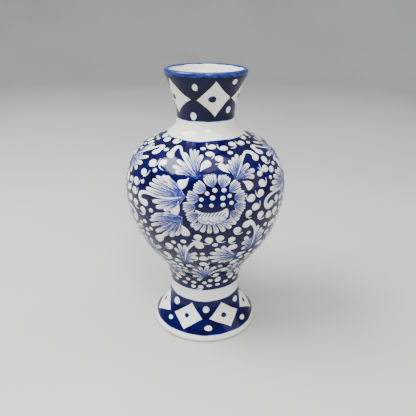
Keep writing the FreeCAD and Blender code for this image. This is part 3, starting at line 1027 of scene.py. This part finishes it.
def cluster(paint, lines, flat, place):
    """A fan of petals that opens away from the middle of the flower."""
    far = math.hypot(*place)
    out = (place[0] / far, place[1] / far)
    base = (place[0] - out[0] * PETAL_DEPTH, place[1] - out[1] * PETAL_DEPTH)
    for number in range(PETALS):
        aside = (number - (PETALS - 1) / 2) * PETAL_GAP
        tip = beyond(place, out, 3.7 - 0.35 * abs(aside), aside)
        finger(paint, flat, base, tip, PETAL_WIDTH, 0.04 * aside, FLOWER_WASH)
    for number in range(PETALS - 1):
        aside = (number - (PETALS - 2) / 2) * PETAL_GAP
        start = (base[0] - out[1] * aside * 0.3, base[1] + out[0] * aside * 0.3)
        lines.line(flat, curve([start, beyond(place, out, 2.2, aside)], 7), LINE_WIDTH)


def flower(name, shift):
    """The big flower: petal clusters round a dotted dark heart, a hatched cup and a striped skirt."""
    paint = Paint("flower_" + name)
    lines = Paint("flower_lines_" + name)
    flat = Flat(*FLOWER, shift)
    for place in CLUSTERS:
        cluster(paint, lines, flat, flat.find(*place))
    for angle, height, radius in HEART_DOTS:
        blob(paint, flat, flat.find(angle, height), radius)
    for angle in range(-3, 20, 3):
        for height in range(142, 162, 3):
            note_filled(angle + shift, along(height), 2.0)
    corners = [flat.find(*corner) for corner in CUP]
    paint.patch(flat, closed_curve(corners), STROKE_LIFT * 0.85, CUP_WASH)
    for number in range(HATCHES):
        angle = -4 + number * 2.1
        start = flat.find(angle, 141.0 - 0.02 * (angle - 4) ** 2)
        end = flat.find(angle - 2.2, 136.6)
        lines.line(flat, curve([start, end], 6), 0.55)
    for angle, height, wide, tall in CUP_SCALES:
        x, y = flat.find(angle, height)
        arc = [(x + wide * math.cos(math.radians(turn)), y + tall * math.sin(math.radians(turn)))
               for turn in range(170, 371, 25)]
        lines.line(flat, arc, 0.40)
    for angle, height in SKIRT:
        start = flat.find(4 + (angle - 6) * 0.45, SKIRT_TOP)
        finger(paint, flat, start, flat.find(angle, height), SKIRT_WIDTH, 0.06, FLOWER_WASH, 0.45)
    paint.build(STROKE_WHITE)
    lines.build(LINE_BLUE)


# ---- leaves and commas of one half

# Leaves of one half: letter, base, half width of the fingers, depth of the wash, the tips of the
# fingers, the scroll's route, and the lobes, each with its start, end and half width.
LEAVES = (
    ("a", (-5, 165.5), 1.95, 0.7,
     ((-23, 168.5), (-26, 172), (-25.5, 176.5), (-22, 180.5), (-17, 183), (-12, 183.5), (-7, 182.5),
      (-2, 180.5)),
     ((-13, 173.5), (-21, 179), (-28.5, 182.5), (-33, 181.5), (-32.5, 178)),
     (((-3.5, 170), (4.5, 176), 3.7), ((-11, 165.5), (-18, 159.5), 4.0))),
    ("b", (21.5, 164), 1.95, 1.0,
     ((16, 174), (20, 176.5), (25, 178.5), (30, 179), (35, 178), (38, 173), (40.5, 168), (38, 163)),
     ((28, 172), (35, 177), (41, 179), (46.5, 178), (47, 175)),
     (((18, 168.5), (11.5, 174.5), 3.1), ((26.5, 162), (32.5, 155.5), 3.7))),
    ("c", (-12.5, 152.5), 1.95, 0.85,
     ((-31.5, 164.5), (-36.5, 163.5), (-40.5, 161), (-43, 157.5), (-45.5, 153), (-38, 143.5),
      (-33, 140), (-28, 138.5)),
     ((-22, 149.5), (-32, 149), (-42, 149.5), (-47.5, 147), (-47, 142), (-42.5, 140.8)),
     (((-19, 156), (-28.5, 165), 3.7), ((-16.5, 148.5), (-20.5, 136.8), 3.7))),
    ("d", (-14.5, 135.5), 1.95, 1.0,
     ((-29, 134.5), (-35, 132.5), (-39, 129.5), (-41, 125.5), (-41, 120.5), (-36.5, 116), (-31, 113.5),
      (-25, 113.5), (-20, 116)),
     (),
     (((-15.5, 129.5), (-12, 118), 3.9), ((-28, 118), (-38, 107.5), 3.9))),
    ("e", (-80, 166), 1.95, 0.8,
     ((-66, 180.5), (-58, 180), (-53, 173.5), (-53.5, 168), (-58, 162.5), (-66, 157.5)),
     ((-70, 173), (-60, 177.5), (-53, 181), (-48.5, 180), (-50, 177.5)),
     (((-75, 159), (-69, 149), 3.6),)),
    ("f", (86, 171.5), 1.95, 0.9,
     ((66, 182), (63, 173), (67.5, 167.5), (74, 161.5), (84, 183)),
     ((76, 176), (68, 178), (60, 180.5), (55.5, 179.5), (57, 177)),
     (((82, 165), (79, 156), 3.5),)),
    ("g", (75, 149), 1.95, 0.85,
     ((66, 162), (60, 162), (54.5, 159.5), (50, 155.5), (48, 151), (60, 138), (68, 136)),
     ((62, 147), (52, 146.8), (45, 144.5), (43.5, 140), (46.5, 136.5), (49.5, 138)),
     (((75, 157), (75, 168), 3.6),)),
    ("h", (39, 98), 1.95, 1.0,
     ((29, 101), (28, 108.5), (28.5, 115.5), (39, 123), (44, 120.5), (47.5, 115.5), (48.5, 108)),
     ((38.5, 108), (37.5, 116), (35, 123.5), (31, 128), (28.5, 126.5)),
     (((43.5, 99), (52, 99), 3.3), ((35.5, 95.5), (27, 94), 3.0))),
    ("i", (-17, 88), 1.95, 0.9,
     ((-23, 95), (-23, 105), (-18.5, 110), (-13.5, 110.5), (-5.5, 101), (-9, 89)),
     ((-14, 100), (-10, 108), (-6, 112), (-2.5, 111), (-3.5, 108.5)),
     (((-20, 86.5), (-27, 88), 2.9),)),
    ("j", (28, 94), 2.0, 0.9,
     ((22, 86), (16.5, 85.5), (10.5, 86), (4.5, 89), (1.5, 95), (3, 101.5), (7.5, 106), (12.5, 108.5)),
     ((21, 98), (18.5, 103), (19.5, 106), (21.5, 105)),
     ()),
    ("k", (4, 65), 1.9, 0.9,
     ((-10, 57.5), (-17, 63), (-17, 70), (-12, 77), (-5, 81.5), (3, 83), (11, 81.5)),
     ((9, 70), (16, 74), (22, 75.5), (24, 72)),
     ()),
    ("l", (-48, 91), 1.9, 0.7,
     ((-60, 84), (-63, 92), (-62, 101), (-54, 106), (-44, 106), (-36, 100)),
     ((-42, 88), (-36, 86), (-31, 89), (-33, 92)),
     ()),
    ("m", (66, 96), 2.0, 0.7,
     ((56, 88), (53, 97), (57, 106), (64, 112), (72, 113), (80, 108), (83, 99)),
     ((67, 104), (63, 113), (58, 119), (54, 118)),
     ()),
    ("n", (44, 68), 1.8, 0.7,
     ((32, 60), (29, 67), (31, 75), (40, 81), (50, 80), (57, 74)),
     (),
     ()),
    ("o", (-84, 122), 2.0, 0.7,
     ((-72, 112), (-66, 118), (-63, 126), (-68, 134), (-77, 137), (-60, 108)),
     ((-76, 124), (-66, 130), (-58, 129), (-55, 124), (-58, 121)),
     ()),
    ("p", (-42, 66), 1.8, 0.7,
     ((-54, 58), (-57, 66), (-54, 74), (-45, 78), (-34, 76), (-28, 69)),
     (),
     ()),
)
# Flat dabs along the foot of the belly: angle, height, width and height of the dab.
LOW_DABS = ((-31, 52.5, 5.5, 3.2), (-47, 53, 5.0, 3.0), (-16, 55, 5.0, 3.4), (7, 51.5, 5.5, 3.2),
 (33, 53.5, 5.5, 3.4), (20, 52, 4.5, 3), (52, 52.5, 5.0, 3.2), (68, 54, 5.2, 3.2), (84, 52, 5.0, 3.2),
 (-66, 52, 5.0, 3.2), (-82, 53.5, 5.2, 3.4))
COMMA_SIZE = 1.08  # dabs are drawn this much larger than listed
# Dabs with a tail: angle, height, radius, and the angle and height that the tail points to.
COMMAS = (
    (-71, 185.5, 3.0, (-77, 187)), (-56, 184.5, 3.2, (-63, 186.5)), (-40, 185, 3.0, (-34, 187)),
    (-44.5, 171, 3.5, (-39, 175.5)), (-34.5, 173, 3.2, (-31, 168)), (-49, 163.5, 3.2, (-41, 167.5)),
    (-55, 155, 3.4, (-50, 158)), (-55, 147, 3.2, (-51, 151)), (-63, 147, 3.0, (-68, 151)),
    (-61, 138.5, 3.2, (-65, 142)), (-53, 137.5, 3.2, (-49, 133)), (-45, 133.5, 3.0, (-50, 129)),
    (8, 183.5, 2.9, (2, 185.5)), (21, 182.5, 3.0, (15, 185)), (34, 184, 3.0, (28, 182)),
    (48, 183.5, 3.0, (42, 185.5)), (63, 185.5, 2.6, (57, 187)), (78, 186, 2.6, (72, 184)),
    (12, 177.5, 3.0, (7, 174)), (50, 166.5, 3.2, (46, 171)), (55, 172, 3.2, (65, 169.5)),
    (42, 157.5, 3.4, (47, 161)), (39.5, 150.5, 3.2, (35, 154)), (31.5, 148.5, 3.2, (28, 153)),
    (34.5, 140.5, 3.3, (38, 145)), (29.5, 136.5, 2.8, (32, 132)), (39.5, 132, 3.2, (44, 128.5)),
    (48, 129, 3.4, (53, 132)), (56, 130, 3.2, (61, 126)), (22, 122.5, 3.2, (27, 120)),
    (10.5, 116.5, 3.2, (15, 113)), (3, 115, 3.0, (-1, 111.5)), (19, 114, 2.9, (23, 110)),
    (-4.5, 118, 3.0, (-9, 115)), (-27, 104.5, 3.4, (-32, 102)), (-8, 94, 2.8, (-10, 90)),
    (-1, 93.5, 3.2, (3, 97)), (-1, 85.5, 3.2, (4, 88.5)), (70, 124, 3.4, (75, 128)),
    (80, 130, 3.2, (84, 126)), (86, 141, 3.4, (81, 145)),
)


def half_of_belly(name, shift):
    """The flower, its leaves and the loose strokes that fill half of the belly."""
    flower(name, shift)
    for letter, *rest in LEAVES:
        leaf(name + "_" + letter, shift, *rest)
    paint = Paint("commas_" + name)
    for angle, height, radius, far in COMMAS:
        comma(paint, angle, height, radius * COMMA_SIZE, far, shift)
    for angle, height, wide, tall in LOW_DABS:
        blob(paint, Flat(angle, height, shift), (0.0, 0.0), wide / 2, tall / wide)
    paint.build(STROKE_WHITE)


# Loose strokes that fill the ground, in millimetres.
FILL_FROM = 50.0
FILL_TO = 184
ROW_GAP = 2.6
COLUMN_GAP = 3.4
BARE_EDGE = 1.25  # ground left round each stroke
SMALLEST_DAB = 1.9
SMALLEST_HOOK = 2.45
LARGEST_DAB = 3.6
TAIL_REACH = 1.8  # reach of a dab's tail, in radii


def fill_ground():
    """Small strokes wherever the painter would not have left the belly bare."""
    paint = Paint("commas_filling")
    height = FILL_FROM
    row = 0
    while height < FILL_TO:
        ring = outline_at(along(height))[0] / MM
        count = int(2 * math.pi * ring / COLUMN_GAP)
        for number in range(count):
            angle = 360 * (number + 0.5 * (row % 2)) / count
            radius = min(LARGEST_DAB, room_at(angle, along(height)) - BARE_EDGE)
            if radius < SMALLEST_DAB:
                continue
            lean = RANDOM.uniform(0, FULL_TURN)
            spin = RANDOM.choice((-1, 1))
            flat = Flat(angle, height)
            if radius > SMALLEST_HOOK:
                hook(paint, flat, radius, lean, spin, radius * TAIL_REACH)
            else:
                blob(paint, flat, (0.0, 0.0), radius, RANDOM.uniform(0.8, 1.0))
        height += ROW_GAP
        row += 1
    paint.build(STROKE_WHITE)


half_of_belly("front", 0.0)
half_of_belly("back", 180.0)
fill_ground()

# ---- floor, light and camera


FLOOR_SIDES = 96
FLOOR_REACH = 1.6
SWEEP = 0.9  # radius of the sweep from the floor to the wall
SWEEP_STEPS = 12
WALL_TOP = 2.2
FLOOR_GAP = 0.0002  # metres that the floor lies below the foot


def staged_floor():
    """A pale round floor that sweeps up into a plain wall on every side."""
    profile = [(0.01, 0.0), (0.5, 0.0), (FLOOR_REACH, 0.0)]
    for number in range(1, SWEEP_STEPS + 1):
        turn = math.pi / 2 * number / SWEEP_STEPS
        profile.append((FLOOR_REACH + SWEEP * math.sin(turn), SWEEP - SWEEP * math.cos(turn)))
    profile.append((FLOOR_REACH + SWEEP, WALL_TOP))
    points = []
    for number in range(FLOOR_SIDES):
        turn = 2 * math.pi * number / FLOOR_SIDES
        points.extend((r * math.cos(turn), r * math.sin(turn), z - FLOOR_GAP) for r, z in profile)
    count = len(profile)
    faces = quads(FLOOR_SIDES, count, False)
    faces.append(tuple(number * count for number in range(FLOOR_SIDES - 1, -1, -1)))
    mesh = bpy.data.meshes.new("floor")
    mesh.from_pydata(points, [], faces)
    mesh.shade_smooth()
    floor = bpy.data.objects.new("floor", mesh)
    bpy.context.scene.collection.objects.link(floor)
    make = Nodes("studio_paper")
    colour = make.blend(make.span(make.noise(PAPER_SCALE, 2.0), 0.3, 0.7), *PAPER_COLOURS)
    make.feed(make.shader, {"Base Color": colour, "Roughness": PAPER_ROUGHNESS})
    mesh.materials.append(make.material)


def softbox(name, place, target, size, power, tint):
    """A rectangular area light aimed at a point."""
    lamp = bpy.data.lights.new(name, "AREA")
    lamp.shape = "RECTANGLE"
    lamp.size = size[0]
    lamp.size_y = size[1]
    lamp.energy = power
    lamp.color = tint
    box = bpy.data.objects.new(name, lamp)
    aim = Vector(target) - Vector(place)
    box.matrix_world = Matrix.Translation(place) @ aim.to_track_quat("-Z", "Y").to_matrix().to_4x4()
    bpy.context.scene.collection.objects.link(box)


# Softboxes: name, place, target, size, watts and tint.
LIGHTS = (
    ("window", (-0.66, -0.10, 1.10), (-0.03, -0.05, 0.16), (0.80, 0.46), 30, (1.0, 0.99, 0.97)),
    ("front", (0.16, -0.95, 1.15), (0, 0, 0.14), (0.36, 0.36), 15, (1.0, 0.99, 0.98)),
    ("side", (1.2, -0.5, 0.7), (0, 0, 0.12), (0.9, 0.9), 4, (0.95, 0.97, 1.0)),
    ("overhead", (0.1, -0.1, 1.7), (0, 0, 0.1), (1.2, 1.2), 20, (1, 1, 1)),
)
SKY = (0.80, 0.83, 0.88, 1)
SKY_STRENGTH = 0.55
CAMERA_PLACE = (0.0026, -0.4056, 0.2874)
CAMERA_DOWN = 23.15  # degrees below level
CAMERA_ROLL = 0.49  # degrees
CAMERA_LENS = 41.1  # millimetres
SENSOR_WIDTH = 36

staged_floor()
for row in LIGHTS:
    softbox(*row)
world = bpy.data.worlds.new("studio")
world.use_nodes = True
world.node_tree.nodes["Background"].inputs["Color"].default_value = SKY
world.node_tree.nodes["Background"].inputs["Strength"].default_value = SKY_STRENGTH
bpy.context.scene.world = world

camera = bpy.data.cameras.new("camera")
camera.sensor_width = SENSOR_WIDTH
camera.lens = CAMERA_LENS
viewpoint = bpy.data.objects.new("camera", camera)
tilt = Matrix.Rotation(math.radians(90 - CAMERA_DOWN), 4, "X")
roll = Matrix.Rotation(math.radians(CAMERA_ROLL), 4, "Z")
viewpoint.matrix_world = Matrix.Translation(CAMERA_PLACE) @ (tilt @ roll)
bpy.context.scene.collection.objects.link(viewpoint)
bpy.context.scene.camera = viewpoint
